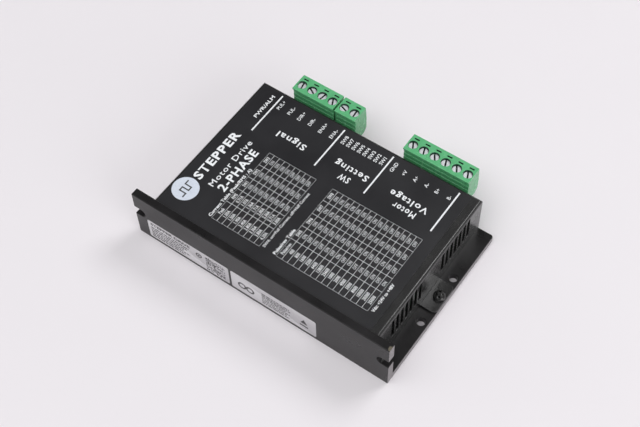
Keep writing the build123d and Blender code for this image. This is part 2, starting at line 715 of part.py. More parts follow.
def clamp_screw(x, slot_angle):
    """Slotted screw whose head stays on its shoulder while its thread lifts or lowers the cage."""
    head_bottom = NECK_Z + SMALL_GAP
    with BuildPart() as screw:
        with BuildSketch(Plane((x, CLAMP_Y, head_bottom))):
            Circle(HEAD_R)
        extrude(amount=HEAD_TOP - head_bottom)
        fillet(screw.edges().filter_by(GeomType.CIRCLE).sort_by(Axis.Z)[-1], HEAD_ROUND)
        with BuildSketch(Plane((x, CLAMP_Y, HEAD_TOP))):
            Rectangle(3 * HEAD_R, HEAD_SLOT_W, rotation=slot_angle)
        extrude(amount=-HEAD_SLOT_DEPTH, mode=Mode.SUBTRACT)
        with BuildSketch(Plane((x, CLAMP_Y, head_bottom))):
            Circle(CLAMP_SHANK_R)
        extrude(amount=-(head_bottom - BAR_CONTACT_TOP - SMALL_GAP))
    return screw.part


for plug, centre, poles in PLUGS:
    save(plug_housing(centre, poles), f"{plug}_plug_housing")
    save(plug_contacts(centre, poles), f"{plug}_plug_contacts")
    for number, x in enumerate(pole_xs(centre, poles), start=1):
        save(clamp_cage(x), f"{plug}_clamp_cage_{number}")
        save(clamp_screw(x, SLOT_ANGLES[plug][number - 1]), f"{plug}_clamp_screw_{number}")

# --- Setting switches: one body with a row of sliders ---------------------------------------------
track_h = SLIDER_H + SLIDER_TRAVEL + 2 * TRACK_GAP
with BuildPart() as switch_body:
    with BuildSketch(rear_plane(SWITCH_FACE_Y)):
        with Locations((SWITCH_X, (BOARD_TOP + SWITCH_TOP) / 2)):
            Rectangle(SWITCH_L, SWITCH_TOP - BOARD_TOP)
    extrude(amount=SWITCH_FACE_Y - SWITCH_BACK_Y)
    chamfer(switch_body.edges().filter_by(Axis.X).group_by(Axis.Z)[-1], 0.4)
    with BuildSketch(rear_plane(SWITCH_FACE_Y)):
        with Locations(*[(x, SLIDER_Z + SLIDER_TRAVEL / 2) for x in switch_xs]):
            Rectangle(TRACK_W, track_h)
    extrude(amount=SWITCH_FACE_Y - SLIDER_ROOT_Y + TRACK_GAP, mode=Mode.SUBTRACT)
    with BuildSketch(Plane.XY.offset(BOARD_TOP)):
        with Locations((SWITCH_X, switch_lead_y)):
            with GridLocations(SWITCH_PITCH, SWITCH_LEAD_ROWS, SWITCH_COUNT, 2):
                Rectangle(SWITCH_LEAD_T, SWITCH_LEAD_T)
    extrude(amount=-(BOARD_T + LEAD_DROP))
save(switch_body.part, "switch_body")

# Slider 1 is at the right-hand end of the row.
for number, x in enumerate(reversed(switch_xs), start=1):
    with BuildPart() as slider:
        with BuildSketch(rear_plane(SLIDER_ROOT_Y)):
            with Locations((x, SLIDER_Z)):
                Rectangle(SLIDER_W, SLIDER_H)
        extrude(amount=-(SLIDER_TIP_Y - SLIDER_ROOT_Y))
        chamfer(slider.faces().sort_by(Axis.Y)[-1].edges(), 0.15)
    save(slider.part, f"switch_slider_{number}")

# --- Status lights: two round lights, one over the other, facing the rear --------------------------
with BuildPart() as status_leds:
    for z, lead_y in zip(LED_ZS, reversed(LED_LEAD_YS)):
        with BuildSketch(rear_plane(LED_BACK_Y)):
            with Locations((LED_X, z)):
                Circle(LED_FLANGE_R)
        extrude(amount=-LED_FLANGE_T)
        with BuildSketch(rear_plane(LED_BACK_Y)):
            with Locations((LED_X, z)):
                Circle(LED_R)
        lens = extrude(amount=-(LED_TIP_Y - LED_BACK_Y))
        fillet(lens.edges().filter_by(GeomType.CIRCLE).sort_by(Axis.Y)[-1], LED_R * 0.8)
        for lead_x in (LED_X - LED_LEAD_PITCH / 2, LED_X + LED_LEAD_PITCH / 2):
            with BuildSketch(side_plane(lead_x)):
                with BuildLine():
                    lead_path = Polyline(
                        (LED_BACK_Y + LED_FLANGE_T / 2, z),
                        (lead_y, z),
                        (lead_y, BOARD_Z - LEAD_DROP),
                    )
                    offset(lead_path, amount=LED_LEAD_T / 2, kind=Kind.INTERSECTION)
                make_face()
            extrude(amount=LED_LEAD_T / 2, both=True)
save(status_leds.part, "status_leds")
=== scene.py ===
"""Looks of the stepper driver module: finishes, printed film, stickers, studio and camera."""

import json
import logging
import math
import random
from dataclasses import dataclass, field
from enum import Enum
from typing import Callable, Sequence

import bmesh
import bpy
from mathutils import Matrix, Vector

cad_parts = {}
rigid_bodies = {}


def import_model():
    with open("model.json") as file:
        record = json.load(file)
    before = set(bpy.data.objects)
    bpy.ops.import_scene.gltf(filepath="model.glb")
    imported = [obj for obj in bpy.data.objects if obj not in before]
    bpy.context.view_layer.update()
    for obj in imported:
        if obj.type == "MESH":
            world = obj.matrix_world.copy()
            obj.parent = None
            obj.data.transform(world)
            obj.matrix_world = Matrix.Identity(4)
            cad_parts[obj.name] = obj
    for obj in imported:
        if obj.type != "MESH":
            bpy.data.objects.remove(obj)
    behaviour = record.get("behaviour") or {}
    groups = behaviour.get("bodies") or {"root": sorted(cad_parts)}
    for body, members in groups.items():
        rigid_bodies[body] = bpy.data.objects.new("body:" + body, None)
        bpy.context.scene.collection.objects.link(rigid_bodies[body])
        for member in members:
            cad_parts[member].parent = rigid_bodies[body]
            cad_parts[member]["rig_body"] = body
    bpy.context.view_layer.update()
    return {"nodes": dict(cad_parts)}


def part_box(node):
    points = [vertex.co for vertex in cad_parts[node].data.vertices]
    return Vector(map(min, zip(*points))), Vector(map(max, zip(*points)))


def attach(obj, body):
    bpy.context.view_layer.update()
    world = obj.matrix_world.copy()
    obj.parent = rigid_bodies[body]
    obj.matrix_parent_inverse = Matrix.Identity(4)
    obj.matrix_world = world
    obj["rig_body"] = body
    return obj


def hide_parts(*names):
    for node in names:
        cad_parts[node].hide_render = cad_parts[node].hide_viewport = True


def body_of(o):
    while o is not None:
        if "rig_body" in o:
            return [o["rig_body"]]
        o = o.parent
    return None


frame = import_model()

LOG = logging.getLogger("stepper_driver")
MM = 0.001
ROOT = "module"
Colour = tuple[float, float, float]
Point = tuple[float, float, float]
Place = tuple[float, float]
Socket = bpy.types.NodeSocket
Material = bpy.types.Material
FaceTest = Callable[[bmesh.types.BMFace], bool]
# Vertices closer than this are one: meshes arrive as loose triangles.
WELD = 0.002 * MM
# Edges that turn by more than this are rounded, in this many steps.
SHARP_ANGLE = math.radians(35.0)
ROUND_STEPS = 2
# Share of the letter size that a capital's height takes in the built-in face.
CAP_SHARE = 0.682


# ------------------------------
# Shader building
# ------------------------------
class Shader:
    """One node material with a Principled shader, and short ways to add what feeds it."""

    def __init__(self, name: str) -> None:
        """Start an empty material.

        Args:
            name: Name of the material.
        """
        self.material = bpy.data.materials.new(name)
        self.material.use_nodes = True
        self.tree = self.material.node_tree
        self.bsdf = self.tree.nodes["Principled BSDF"]

    def add(self, kind: str, **settings: object) -> bpy.types.Node:
        """Add a node and set its own properties.

        Args:
            kind: Type name of the node.
            **settings: Properties to set on it.

        Returns:
            The new node.
        """
        node = self.tree.nodes.new(kind)
        for key, value in settings.items():
            setattr(node, key, value)
        return node

    def join(self, source: Socket, target: Socket) -> None:
        """Link an output socket to an input socket."""
        self.tree.links.new(source, target)

    def fixed(self, **values: object) -> None:
        """Set constants on the Principled shader.

        Args:
            **values: Socket names, with _ for a space, and their values.
        """
        for key, value in values.items():
            socket = self.bsdf.inputs[key.replace("_", " ")]
            socket.default_value = (*value, 1.0) if isinstance(value, tuple) else value

    def place(self, stretch: Point = (1.0, 1.0, 1.0), centre: Point = (0.0, 0.0, 0.0)) -> Socket:
        """Object coordinates, moved and stretched.

        Args:
            stretch: Factor along each axis.
            centre: Point in metres that becomes the origin.

        Returns:
            A vector socket.
        """
        mapping = self.add("ShaderNodeMapping", vector_type="POINT")
        mapping.inputs["Location"].default_value = [-c * s for c, s in zip(centre, stretch)]
        mapping.inputs["Scale"].default_value = stretch
        self.join(self.add("ShaderNodeTexCoord").outputs["Object"], mapping.inputs["Vector"])
        return mapping.outputs["Vector"]

    def noise(
        self, size_mm: float, detail: float = 3.0, rough: float = 0.55, stretch: Point = (1.0, 1.0, 1.0)
    ) -> Socket:
        """Noise whose features are about size_mm across.

        Args:
            size_mm: Feature size in millimetres.
            detail: Octaves of detail.
            rough: Strength of the finer octaves.
            stretch: Factor along each axis, for grain with a direction.

        Returns:
            A socket from 0 to 1.
        """
        node = self.add("ShaderNodeTexNoise")
        node.inputs["Scale"].default_value = 1.0 / (size_mm * MM)
        node.inputs["Detail"].default_value = detail
        node.inputs["Roughness"].default_value = rough
        self.join(self.place(stretch), node.inputs["Vector"])
        return node.outputs["Fac"]

    def span(
        self, source: Socket, low: float, high: float, to_low: float = 0.0, to_high: float = 1.0
    ) -> Socket:
        """Map a range of a value onto another, clamped.

        Args:
            source: Value to map.
            low: Source value that gives to_low.
            high: Source value that gives to_high.
            to_low: Result at low.
            to_high: Result at high.

        Returns:
            The mapped value.
        """
        node = self.add("ShaderNodeMapRange", clamp=True)
        for key, value in zip(("From Min", "From Max", "To Min", "To Max"), (low, high, to_low, to_high)):
            node.inputs[key].default_value = value
        self.join(source, node.inputs["Value"])
        return node.outputs["Result"]

    def blend(self, amount: Socket, first: Colour | Socket, second: Colour | Socket) -> Socket:
        """Mix two colours.

        Args:
            amount: Share of the second colour.
            first: Colour or colour socket at 0.
            second: Colour or colour socket at 1.

        Returns:
            The mixed colour.
        """
        node = self.add("ShaderNodeMix", data_type="RGBA")
        self.join(amount, node.inputs["Factor"])
        for socket, value in ((node.inputs[6], first), (node.inputs[7], second)):
            if isinstance(value, tuple):
                socket.default_value = (*value, 1.0)
            else:
                self.join(value, socket)
        return node.outputs[2]

    def relief(self, heights: Sequence[tuple[Socket, float]]) -> None:
        """Chain bumps into the shader's normal.

        Args:
            heights: Height sockets and their depths in millimetres.
        """
        normal = None
        for height, depth_mm in heights:
            bump = self.add("ShaderNodeBump")
            bump.inputs["Strength"].default_value = 1.0
            bump.inputs["Distance"].default_value = depth_mm * MM
            self.join(height, bump.inputs["Height"])
            if normal is not None:
                self.join(normal, bump.inputs["Normal"])
            normal = bump.outputs["Normal"]
        self.join(normal, self.bsdf.inputs["Normal"])

    def colour(self, socket: Socket) -> None:
        """Feed the base colour."""
        self.join(socket, self.bsdf.inputs["Base Color"])

    def roughness(self, socket: Socket) -> None:
        """Feed the roughness."""
        self.join(socket, self.bsdf.inputs["Roughness"])


# ------------------------------
# Finishes
# ------------------------------
@dataclass(frozen=True)
class PowderCoat:
    """Black coating over metal, with a fine grain, faint cloudiness and pale specks of dust."""

    name: str
    colour: Colour
    haze: Colour
    roughness: float
    grain_mm: float
    grain_depth_mm: float
    specular: float = 0.5
    chip_centre: Point | None = None
    chip_radius: float = 0.0
    dust_share: float = 0.35

    def material(self) -> Material:
        """Build the material.

        Returns:
            The new material.
        """
        shader = Shader(self.name)
        shader.fixed(Specular_IOR_Level=self.specular)
        grain = shader.noise(self.grain_mm, 2.0)
        cloud = shader.noise(14.0, 4.0)
        coat = shader.blend(shader.span(cloud, 0.35, 0.7), self.colour, self.haze)
        dust = shader.span(shader.noise(0.9, 6.0, 0.7), 0.68, 0.78, 0.0, self.dust_share)
        coat = shader.blend(dust, coat, (0.16, 0.155, 0.15))
        if self.chip_centre is not None:
            coat = self._chipped(shader, coat)
        shader.colour(coat)
        shader.roughness(
            shader.span(cloud, 0.3, 0.7, self.roughness - 0.06, self.roughness + 0.06)
        )
        shader.relief([(cloud, 0.02), (grain, self.grain_depth_mm)])
        return shader.material

    def _chipped(self, shader: Shader, coat: Socket) -> Socket:
        """Bare metal shows round one knocked corner.

        Args:
            shader: Material in the making.
            coat: Colour of the whole coating.

        Returns:
            The colour with the chip in it.
        """
        length = shader.add("ShaderNodeVectorMath", operation="LENGTH")
        shader.join(shader.place(centre=self.chip_centre), length.inputs[0])
        ragged = shader.add("ShaderNodeMath", operation="MULTIPLY_ADD")
        shader.join(shader.noise(0.8, 4.0), ragged.inputs[0])
        ragged.inputs[1].default_value = self.chip_radius
        shader.join(length.outputs["Value"], ragged.inputs[2])
        edge = self.chip_radius * 1.45
        inside = shader.span(ragged.outputs[0], edge, edge * 1.08, 1.0, 0.0)
        return shader.blend(inside, coat, (0.13, 0.115, 0.085))


@dataclass(frozen=True)
class SawnMetalAndPaintedSheen:
    """Cut end of the extrusion: pale, dull, with fine saw lines across it. Its paleness is partly bare metal
    and partly painted reflection of the bright side light.
    """

    name: str = "sawn_aluminium_and_painted_sheen"
    colour: Colour = (0.33, 0.31, 0.32)
    dark: Colour = (0.17, 0.16, 0.165)

    def material(self) -> Material:
        """Build the material.

        Returns:
            The new material.
        """
        shader = Shader(self.name)
        shader.fixed(Metallic=0.35)
        lines = shader.noise(0.5, 4.0, 0.6, (1.0, 6.0, 0.25))
        cloud = shader.noise(3.0, 3.0)
        shader.colour(shader.blend(shader.span(lines, 0.35, 0.65), self.dark, self.colour))
        shader.roughness(shader.span(cloud, 0.3, 0.7, 0.42, 0.6))
        shader.relief([(lines, 0.01)])
        return shader.material


@dataclass(frozen=True)
class PrintedFilm:
    """Matt black label film with a very fine emboss and a few specks."""

    name: str = "label_film"
    colour: Colour = (0.0085, 0.0083, 0.0105)
    haze: Colour = (0.0125, 0.0122, 0.0148)

    def material(self) -> Material:
        """Build the material.

        Returns:
            The new material.
        """
        shader = Shader(self.name)
        shader.fixed(Specular_IOR_Level=0.45)
        cloud = shader.noise(22.0, 3.0)
        emboss = shader.noise(0.18, 1.0)
        specks = shader.span(shader.noise(0.5, 5.0, 0.7), 0.74, 0.80, 0.0, 0.25)
        film = shader.blend(shader.span(cloud, 0.35, 0.65), self.colour, self.haze)
        shader.colour(shader.blend(specks, film, (0.12, 0.12, 0.12)))
        shader.roughness(shader.span(cloud, 0.3, 0.7, 0.38, 0.46))
        shader.relief([(cloud, 0.03), (emboss, 0.006)])
        return shader.material


@dataclass(frozen=True)
class Ink:
    """Screen-printed ink: an even colour, slightly thin in places, with gloss that varies in patches."""

    name: str
    colour: Colour
    thin: Colour
    roughness: float = 0.5

    def material(self) -> Material:
        """Build the material.

        Returns:
            The new material.
        """
        shader = Shader(self.name)
        patchy = shader.noise(0.6, 4.0)
        shader.colour(shader.blend(shader.span(patchy, 0.3, 0.55), self.thin, self.colour))
        shader.roughness(shader.span(patchy, 0.3, 0.7, self.roughness, self.roughness + 0.15))
        shader.relief([(patchy, 0.004)])
        return shader.material


@dataclass(frozen=True)
class StickerFoil:
    """Silver-grey sticker stock with a faint grain along its length."""

    name: str = "sticker_foil"
    colour: Colour = (0.69, 0.68, 0.70)
    shade: Colour = (0.61, 0.60, 0.62)

    def material(self) -> Material:
        """Build the material.

        Returns:
            The new material.
        """
        shader = Shader(self.name)
        shader.fixed(Metallic=0.15)
        grain = shader.noise(0.35, 3.0, 0.6, (0.15, 1.0, 1.6))
        cloud = shader.noise(9.0, 2.0)
        shader.colour(shader.blend(shader.span(grain, 0.3, 0.7), self.shade, self.colour))
        shader.roughness(shader.span(cloud, 0.3, 0.7, 0.4, 0.55))
        shader.relief([(grain, 0.004), (cloud, 0.02)])
        return shader.material


@dataclass(frozen=True)
class MouldedPlastic:
    """Moulded plastic: faint flow marks, spark-eroded grain and, where it is thin, some glow."""

    name: str
    colour: Colour
    deep: Colour
    roughness: float = 0.42
    glow: float = 0.0
    grain_mm: float = 0.16
    grain_depth_mm: float = 0.006

    def material(self) -> Material:
        """Build the material.

        Returns:
            The new material.
        """
        shader = Shader(self.name)
        if self.glow:
            shader.fixed(Subsurface_Weight=self.glow, Subsurface_Scale=0.8 * MM)
            shader.bsdf.inputs["Subsurface Radius"].default_value = (0.6, 1.0, 0.6)
        flow = shader.noise(5.0, 4.0, 0.6, (1.0, 1.0, 0.35))
        grain = shader.noise(self.grain_mm, 2.0)
        shader.colour(shader.blend(shader.span(flow, 0.3, 0.7), self.deep, self.colour))
        shader.roughness(shader.span(flow, 0.3, 0.7, self.roughness - 0.05, self.roughness + 0.08))
        shader.relief([(flow, 0.015), (grain, self.grain_depth_mm)])
        return shader.material


@dataclass(frozen=True)
class PlatedMetal:
    """Plated or turned metal: turning lines, mottled gloss and duller spots, and, where asked, painted shade
    below a given height.
    """

    name: str
    colour: Colour
    dull: Colour
    roughness: float = 0.22
    metallic: float = 1.0
    line_mm: float = 0.25
    painted_shade_below: float | None = None

    def material(self) -> Material:
        """Build the material.

        Returns:
            The new material.
        """
        shader = Shader(self.name)
        shader.fixed(Metallic=self.metallic)
        lines = shader.noise(self.line_mm, 3.0, 0.6, (1.0, 0.2, 1.0))
        spots = shader.noise(1.1, 5.0, 0.65)
        plate = shader.blend(shader.span(spots, 0.42, 0.7), self.colour, self.dull)
        # Painted shade: below the given height, in the screw slots, the plate turns near black.
        if self.painted_shade_below is not None:
            height = shader.add("ShaderNodeSeparateXYZ")
            shader.join(shader.place(), height.inputs[0])
            painted_slot_shade = shader.span(height.outputs["Z"], self.painted_shade_below - 0.2 * MM, self.painted_shade_below, 1.0, 0.0)
            plate = shader.blend(painted_slot_shade, plate, (0.022, 0.024, 0.026))
        shader.colour(plate)
        shader.roughness(shader.span(spots, 0.3, 0.75, self.roughness, self.roughness + 0.22))
        shader.relief([(lines, 0.004), (spots, 0.006)])
        return shader.material


@dataclass(frozen=True)
class SolderMask:
    """Circuit board: glossy mask, paler copper runs under it and faint yellowish specks."""

    name: str = "solder_mask"
    mask: Colour = (0.012, 0.085, 0.035)
    track: Colour = (0.03, 0.19, 0.07)
    edge: Colour = (0.32, 0.27, 0.12)

    def material(self) -> Material:
        """Build the material.

        Returns:
            The new material.
        """
        shader = Shader(self.name)
        runs = shader.add("ShaderNodeTexBrick", offset=0.37, squash=0.6, squash_frequency=3)
        for key, value in (("Scale", 1.0), ("Mortar Size", 0.11), ("Mortar Smooth", 0.15)):
            runs.inputs[key].default_value = value
        runs.inputs["Brick Width"].default_value = 5.2
        runs.inputs["Row Height"].default_value = 1.3
        shader.join(shader.place((1 / MM, 1 / MM, 1 / MM)), runs.inputs["Vector"])
        weave = shader.noise(0.4, 2.0)
        face = shader.blend(runs.outputs["Fac"], self.mask, self.track)
        shader.colour(shader.blend(shader.span(weave, 0.62, 0.8, 0.0, 0.3), face, self.edge))
        shader.roughness(shader.span(weave, 0.3, 0.7, 0.22, 0.34))
        shader.relief([(runs.outputs["Fac"], 0.035), (weave, 0.005)])
        return shader.material


@dataclass(frozen=True)
class ClearLens:
    """Tinted clear epoxy with faint cloudiness inside."""

    name: str
    tint: Colour
    deep: Colour

    def material(self) -> Material:
        """Build the material.

        Returns:
            The new material.
        """
        shader = Shader(self.name)
        shader.fixed(Transmission_Weight=0.55, IOR=1.5)
        cloud = shader.noise(1.4, 3.0)
        shader.colour(shader.blend(shader.span(cloud, 0.3, 0.7), self.deep, self.tint))
        shader.roughness(shader.span(cloud, 0.3, 0.7, 0.08, 0.2))
        shader.relief([(cloud, 0.01)])
        return shader.material


@dataclass(frozen=True)
class StudioPaper:
    """Pale seamless paper under the module."""

    name: str = "studio_paper"
    colour: Colour = (0.83, 0.80, 0.83)
    shade: Colour = (0.81, 0.78, 0.81)

    def material(self) -> Material:
        """Build the material.

        Returns:
            The new material.
        """
        shader = Shader(self.name)
        shader.fixed(Specular_IOR_Level=0.1)
        fibre = shader.noise(60.0, 3.0)
        shader.colour(shader.blend(fibre, self.colour, self.shade))
        shader.roughness(shader.span(fibre, 0.3, 0.7, 0.85, 0.95))
        return shader.material


class Finishes:
    """Every finish of the module, each built once."""

    def __init__(self) -> None:
        """Build the materials that more than one sub-assembly uses."""
        low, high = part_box("heatsink_base")
        self.base_coat = PowderCoat(
            "base_coat", (0.0055, 0.005, 0.0055), (0.009, 0.008, 0.009), 0.32, 0.3, 0.01, specular=0.36,
            chip_centre=(high.x - 0.1 * MM, low.y + 1.4 * MM, high.z), chip_radius=1.05 * MM,
        ).material()
        self.cover_coat = PowderCoat(
            "cover_coat", (0.011, 0.011, 0.011), (0.018, 0.018, 0.018), 0.24, 0.42, 0.02, specular=0.8
        ).material()
        # Cut ends: a pale finish that is partly bare metal and partly painted reflection.
        self.sawn_and_painted_sheen = SawnMetalAndPaintedSheen().material()
        self.film = PrintedFilm().material()
        self.white_ink = Ink("white_ink", (0.84, 0.86, 0.88), (0.74, 0.76, 0.78)).material()
        self.disc_ink = Ink("disc_ink", (0.64, 0.69, 0.78), (0.58, 0.63, 0.72)).material()
        self.mark_ink = Ink("mark_ink", (0.03, 0.03, 0.032), (0.05, 0.05, 0.052)).material()
        self.dark_ink = Ink("dark_ink", (0.045, 0.043, 0.046), (0.10, 0.096, 0.10)).material()
        self.foil = StickerFoil().material()
        self.green = MouldedPlastic(
            "terminal_green", (0.125, 0.47, 0.215), (0.10, 0.41, 0.18), 0.24, glow=0.12
        ).material()
        # Painted shade: a near-black copy of the terminal green for the inside of the screw wells and marker
        # slots.
        self.pocket_shade_green = MouldedPlastic(
            "terminal_pocket_painted_shade", (0.012, 0.075, 0.04), (0.01, 0.055, 0.03), 0.5
        ).material()
        self.red = MouldedPlastic("switch_red", (0.42, 0.02, 0.02), (0.33, 0.015, 0.015)).material()
        self.white = MouldedPlastic("slider_white", (0.80, 0.79, 0.75), (0.72, 0.71, 0.67)).material()
        self.epoxy = MouldedPlastic(
            "moulded_epoxy", (0.022, 0.022, 0.023), (0.03, 0.03, 0.031), 0.5,
            grain_mm=0.12, grain_depth_mm=0.012,
        ).material()
        self.pad = MouldedPlastic("silicone_pad", (0.40, 0.46, 0.52), (0.34, 0.40, 0.46), 0.7).material()
        self.ferrite = MouldedPlastic(
            "ferrite", (0.075, 0.075, 0.08), (0.05, 0.05, 0.055), 0.62, grain_mm=0.25, grain_depth_mm=0.02
        ).material()
        self.sleeve = MouldedPlastic(
            "capacitor_sleeve", (0.012, 0.016, 0.055), (0.02, 0.025, 0.08), 0.3
        ).material()
        head_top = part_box("pulse_clamp_screw_1")[1].z
        # The clamp screws' slots get painted shade from just under the head's top down.
        self.nickel = PlatedMetal(
            "nickel_plate", (0.90, 0.92, 0.96), (0.72, 0.74, 0.78), 0.3,
            metallic=0.55, painted_shade_below=head_top - 0.12 * MM,
        ).material()
        self.black_zinc = PlatedMetal(
            "black_zinc", (0.07, 0.07, 0.07), (0.02, 0.02, 0.02), 0.12, metallic=0.75
        ).material()
        self.tin = PlatedMetal("tinned_copper", (0.74, 0.72, 0.68), (0.55, 0.52, 0.46), 0.3).material()
        self.steel = PlatedMetal("plated_steel", (0.60, 0.60, 0.58), (0.42, 0.42, 0.41), 0.32).material()
        self.bar = PlatedMetal(
            "mill_aluminium", (0.66, 0.66, 0.67), (0.5, 0.5, 0.51), 0.38, line_mm=0.4
        ).material()
        self.board = SolderMask().material()
        self.lens = ClearLens("light_lens", (0.35, 0.75, 0.40), (0.22, 0.6, 0.28)).material()


# ------------------------------
# Mesh building
# ------------------------------
def dress(node: str, *materials: Material) -> None:
    """Give a CAD node its finish.

    Args:
        node: Name of the node.
        *materials: Its materials, in slot order.
    """
    slots = frame["nodes"][node].data.materials
    slots.clear()
    for material in materials:
        slots.append(material)


def finish_piece(
    name: str,
    shape: bmesh.types.BMesh,
    materials: Sequence[Material],
    body: str,
    smooth_below: float = 30.0,
) -> bpy.types.Object:
    """Turn a bmesh into a piece that rides on a body.

    Args:
        name: Name of the piece.
        shape: The shape in the row frame, freed here.
        materials: Its materials, in slot order.
        body: CAD body that it moves with.
        smooth_below: Edges flatter than this angle, in degrees, are shaded smooth.

    Returns:
        The new object.
    """
    mesh = bpy.data.meshes.new(name)
    for face in shape.faces:
        face.smooth = True
    shape.to_mesh(mesh)
    shape.free()
    mesh.set_sharp_from_angle(angle=math.radians(smooth_below))
    for material in materials:
        mesh.materials.append(material)
    piece = bpy.data.objects.new(name, mesh)
    bpy.context.scene.collection.objects.link(piece)
    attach(piece, body)
    LOG.info("%s: %d faces on %s", name, len(mesh.polygons), body)
    return piece


def softened(node: str, round_mm: float) -> bmesh.types.BMesh:
    """A copy of a CAD node with its sharp edges slightly rounded.

    Args:
        node: Name of the node to copy.
        round_mm: Width of the rounding.

    Returns:
        The rounded shape.
    """
    shape = bmesh.new()
    shape.from_mesh(frame["nodes"][node].data)
    bmesh.ops.remove_doubles(shape, verts=shape.verts, dist=WELD)
    bmesh.ops.dissolve_limit(
        shape, angle_limit=math.radians(0.5), verts=shape.verts, edges=shape.edges, delimit={"NORMAL"}
    )
    sharp = [e for e in shape.edges if len(e.link_faces) == 2 and e.calc_face_angle() > SHARP_ANGLE]
    bmesh.ops.bevel(
        shape,
        geom=sharp,
        offset=round_mm * MM,
        offset_type="OFFSET",
        affect="EDGES",
        segments=ROUND_STEPS,
        profile=0.5,
        clamp_overlap=False,
        loop_slide=True,
        material=-1,
    )
    return shape


class Reading(Enum):
    """Which way print runs: its reading direction and the way its letters stand."""

    TO_REAR = ((0, 1, 0), (-1, 0, 0))
    TO_LEFT = ((-1, 0, 0), (0, -1, 0))
    ON_WALL = ((1, 0, 0), (0, 0, 1))

    def matrix(self, at: Vector) -> Matrix:
        """Matrix from print space (along, up, out) to the row frame.

        Args:
            at: Where the print's own origin lies.

        Returns:
            A 4 by 4 matrix.
        """
        along, up = Vector(self.value[0]), Vector(self.value[1])
        turn = Matrix((along, up, along.cross(up))).transposed().to_4x4()
        return Matrix.Translation(at) @ turn


@dataclass
class PrintSheet:
    """Raised ink on one flat surface, gathered into one mesh; sizes in millimetres.

    The surface is at right angles to its reading's out direction, and each mark is given by the
    place of its lower left corner in the row frame. The reading may change between marks.
    """

    level: float
    ink_t: float = 0.02
    reading: Reading = Reading.TO_REAR
    shape: bmesh.types.BMesh = field(default_factory=bmesh.new)

    def take(self, mesh: bpy.types.Mesh, at: Place) -> None:
        """Add a mesh, placed.

        Args:
            mesh: Mesh in print space and millimetres, removed here.
            at: Place of its origin: (x, y) on the film, (x, z) on the wall.
        """
        first, second = at
        on_wall = self.reading is Reading.ON_WALL
        spot = (first, self.level, second) if on_wall else (first, second, self.level)
        mesh.transform(self.reading.matrix(Vector(spot) * MM) @ Matrix.Scale(MM, 4))
        self.shape.from_mesh(mesh)
        bpy.data.meshes.remove(mesh)

    def outline(self, points: Sequence[Place], at: Place) -> None:
        """A flat mark with a straight-sided outline.

        Args:
            points: Corners in print space, counter-clockwise.
            at: Place of its origin.
        """
        patch = bmesh.new()
        face = patch.faces.new([patch.verts.new((x, y, 0)) for x, y in points])
        self._lay([face], patch, at)

    def bar(self, width: float, height: float, at: Place) -> None:
        """A plain rectangle of ink, from its lower left corner."""
        self.outline([(0, 0), (width, 0), (width, height), (0, height)], at)

    def disc(self, radius: float, at: Place, hole: float = 0.0) -> None:
        """A disc or ring of ink round a centre.

        Args:
            radius: Outer radius.
            at: Its centre.
            hole: Radius of its hole.
        """
        patch = bmesh.new()
        bmesh.ops.create_circle(patch, cap_ends=not hole, segments=64, radius=radius)
        if hole:
            bmesh.ops.create_circle(patch, cap_ends=False, segments=64, radius=hole)
            bmesh.ops.bridge_loops(patch, edges=patch.edges[:])
        self._lay(patch.faces[:], patch, at)

    def table(self, across: Sequence[float], down: Sequence[float], line: float, at: Place) -> None:
        """Ruled lines of a table, as one connected network.

        Args:
            across: Column borders along the reading direction, from 0.
            down: Row borders down the page, from 0.
            line: Width of the lines.
            at: Its upper left corner.
        """
        patch = bmesh.new()
        columns, rows = len(across) - 1, len(down) - 1
        bmesh.ops.create_grid(patch, x_segments=columns, y_segments=rows, size=0.5)
        for vert in patch.verts:
            vert.co.x = across[round((vert.co.x + 0.5) * columns)]
            vert.co.y = -down[round((0.5 - vert.co.y) * rows)]
        bmesh.ops.inset_individual(patch, faces=patch.faces[:], thickness=line / 2)
        inner = [f for f in patch.faces if all(len(e.link_faces) == 2 for e in f.edges)]
        cells = [f for f in inner if f.calc_area() > line * 4]
        bmesh.ops.delete(patch, geom=cells, context="FACES")
        self._lay(patch.faces[:], patch, at)

    def words(
        self,
        text: str,
        cap: float,
        at: Place,
        width: float | None = None,
        weight: float = 0.0,
        centred: bool = False,
        squeeze: float = 1.0,
        spacing: float = 1.0,
    ) -> None:
        """A line of lettering.

        Args:
            text: What it says.
            cap: Height of its capitals.
            at: Start of its base line, or the middle of it if centred.
            width: Length to fit the line to, or None for its natural length.
            weight: How much its strokes are thickened, as a share of the capitals.
            centred: Whether at is the middle of the base line.
            squeeze: Share of the natural width, where no width is given.
            spacing: Factor on the room between letters.
        """
        curve = bpy.data.curves.new("line", "FONT")
        curve.body = text
        curve.size = cap / CAP_SHARE
        curve.space_character = spacing
        curve.resolution_u = 2
        curve.extrude = self.ink_t / 2
        line = bpy.data.objects.new("line", curve)
        mesh = bpy.data.meshes.new_from_object(line)
        bpy.data.objects.remove(line)
        bpy.data.curves.remove(curve)
        self._thicken(mesh, weight * cap)
        xs = [v.co.x for v in mesh.vertices]
        start, length = min(xs), max(xs) - min(xs)
        stretch = width / length if width else squeeze
        left = -length * stretch / 2 if centred else 0.0
        fit = Matrix.Translation((left, 0, self.ink_t / 2)) @ Matrix.Diagonal((stretch, 1, 1, 1))
        mesh.transform(fit @ Matrix.Translation((-start, 0, 0)))
        self.take(mesh, at)

    def _thicken(self, mesh: bpy.types.Mesh, by: float) -> None:
        """Weld raised lettering and spread its outlines.

        Args:
            mesh: Lettering in print space, changed in place.
            by: How far each outline moves, in millimetres.
        """
        letters = bmesh.new()
        letters.from_mesh(mesh)
        bmesh.ops.remove_doubles(letters, verts=letters.verts, dist=0.002)
        moves = {}
        for vert in letters.verts:
            sides = [f.normal.to_2d() for f in vert.link_faces if abs(f.normal.z) < 0.5]
            if len(sides) == 2:
                moves[vert] = (sides[0] + sides[1]) * by / max(1.0 + sides[0].dot(sides[1]), 0.5)
        for vert, move in moves.items():
            vert.co.xy += move
        letters.to_mesh(mesh)
        letters.free()

